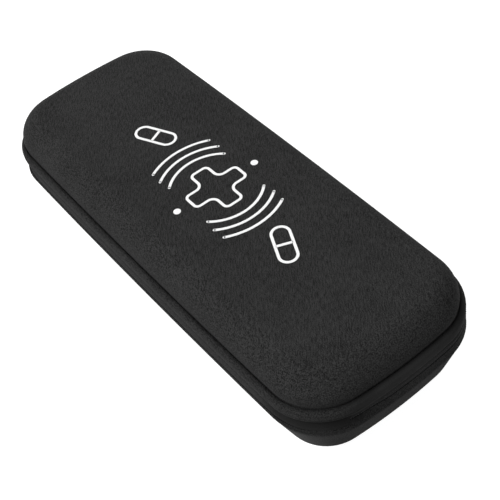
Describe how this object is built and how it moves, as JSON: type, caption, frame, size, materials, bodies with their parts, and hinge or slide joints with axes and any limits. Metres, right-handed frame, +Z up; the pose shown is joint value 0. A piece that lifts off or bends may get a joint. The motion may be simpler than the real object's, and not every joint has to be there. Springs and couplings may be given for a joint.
{
  "type": "stethoscope hard case",
  "caption": "Long zipped hard case of two moulded fabric-covered shells with a fabric back hinge, sliders with pulls, a lid mesh pocket and elastic straps.",
  "frame": {"origin": "centre of the bounding box's underside, on the surface the case rests on", "axes": "+X along the case's length, +Y towards the fabric hinge, -Y towards the zipper's sliders, +Z up through the lid"},
  "size_m": [0.29, 0.118, 0.0615],
  "materials": {
    "cover_fabric": "woven melange",
    "foam_core": "matt foam",
    "lining_fabric": "brushed knit",
    "band_trim": "smooth coated",
    "zipper_tape": "woven herringbone",
    "zipper_coil": "satin",
    "binding_tape": "ribbed weave",
    "hinge_fabric": "plain weave",
    "stop_metal": "satin",
    "pocket_mesh": "open knit",
    "elastic": "ribbed elastic",
    "slider_metal": "satin black"
  },
  "bodies": {
    "base": {"base_cover": "cover_fabric", "base_core": "foam_core", "base_lining": "lining_fabric", "base_rim_band": "band_trim", "base_zipper_tape": "zipper_tape", "base_zipper_coil": "zipper_coil", "base_binding": "binding_tape", "hinge_strip": "hinge_fabric", "zipper_stop_left": "stop_metal", "zipper_stop_right": "stop_metal", "elastic_strap_left": "elastic", "elastic_strap_right": "elastic"},
    "lid": {"lid_cover": "cover_fabric", "lid_core": "foam_core", "lid_lining": "lining_fabric", "lid_rim_band": "band_trim", "lid_zipper_tape": "zipper_tape", "lid_zipper_coil": "zipper_coil", "lid_binding": "binding_tape", "pocket_mesh": "pocket_mesh", "pocket_hem": "binding_tape", "pocket_border": "binding_tape"},
    "slider_left": {"slider_left": "slider_metal"},
    "slider_right": {"slider_right": "slider_metal"},
    "pull_left": {"pull_left": "slider_metal"},
    "pull_right": {"pull_right": "slider_metal"}
  },
  "joints": [
    {"name": "lid_hinge", "type": "hinge", "parent": "base", "child": "lid", "pos_m": [0, 0.0595, 0.035], "axis": [-1, 0, 0], "range_deg": [0, 180], "deforming": ["hinge_strip"]},
    {"name": "slider_left_run", "type": "slide", "parent": "base", "child": "slider_left", "axis": [-1, 0, 0], "range_m": [0, 0.095], "deforming": ["base_zipper_tape", "base_zipper_coil", "lid_zipper_tape", "lid_zipper_coil"]},
    {"name": "slider_right_run", "type": "slide", "parent": "base", "child": "slider_right", "axis": [1, 0, 0], "range_m": [0, 0.095], "deforming": ["base_zipper_tape", "base_zipper_coil", "lid_zipper_tape", "lid_zipper_coil"]},
    {"name": "pull_left_swing", "type": "hinge", "parent": "slider_left", "child": "pull_left", "pos_m": [-0.007, -0.0569, 0.035], "axis": [0, 0, 1], "range_deg": [0, 100]},
    {"name": "pull_right_swing", "type": "hinge", "parent": "slider_right", "child": "pull_right", "pos_m": [0.007, -0.0569, 0.035], "axis": [0, 0, -1], "range_deg": [0, 100]}
  ]
}
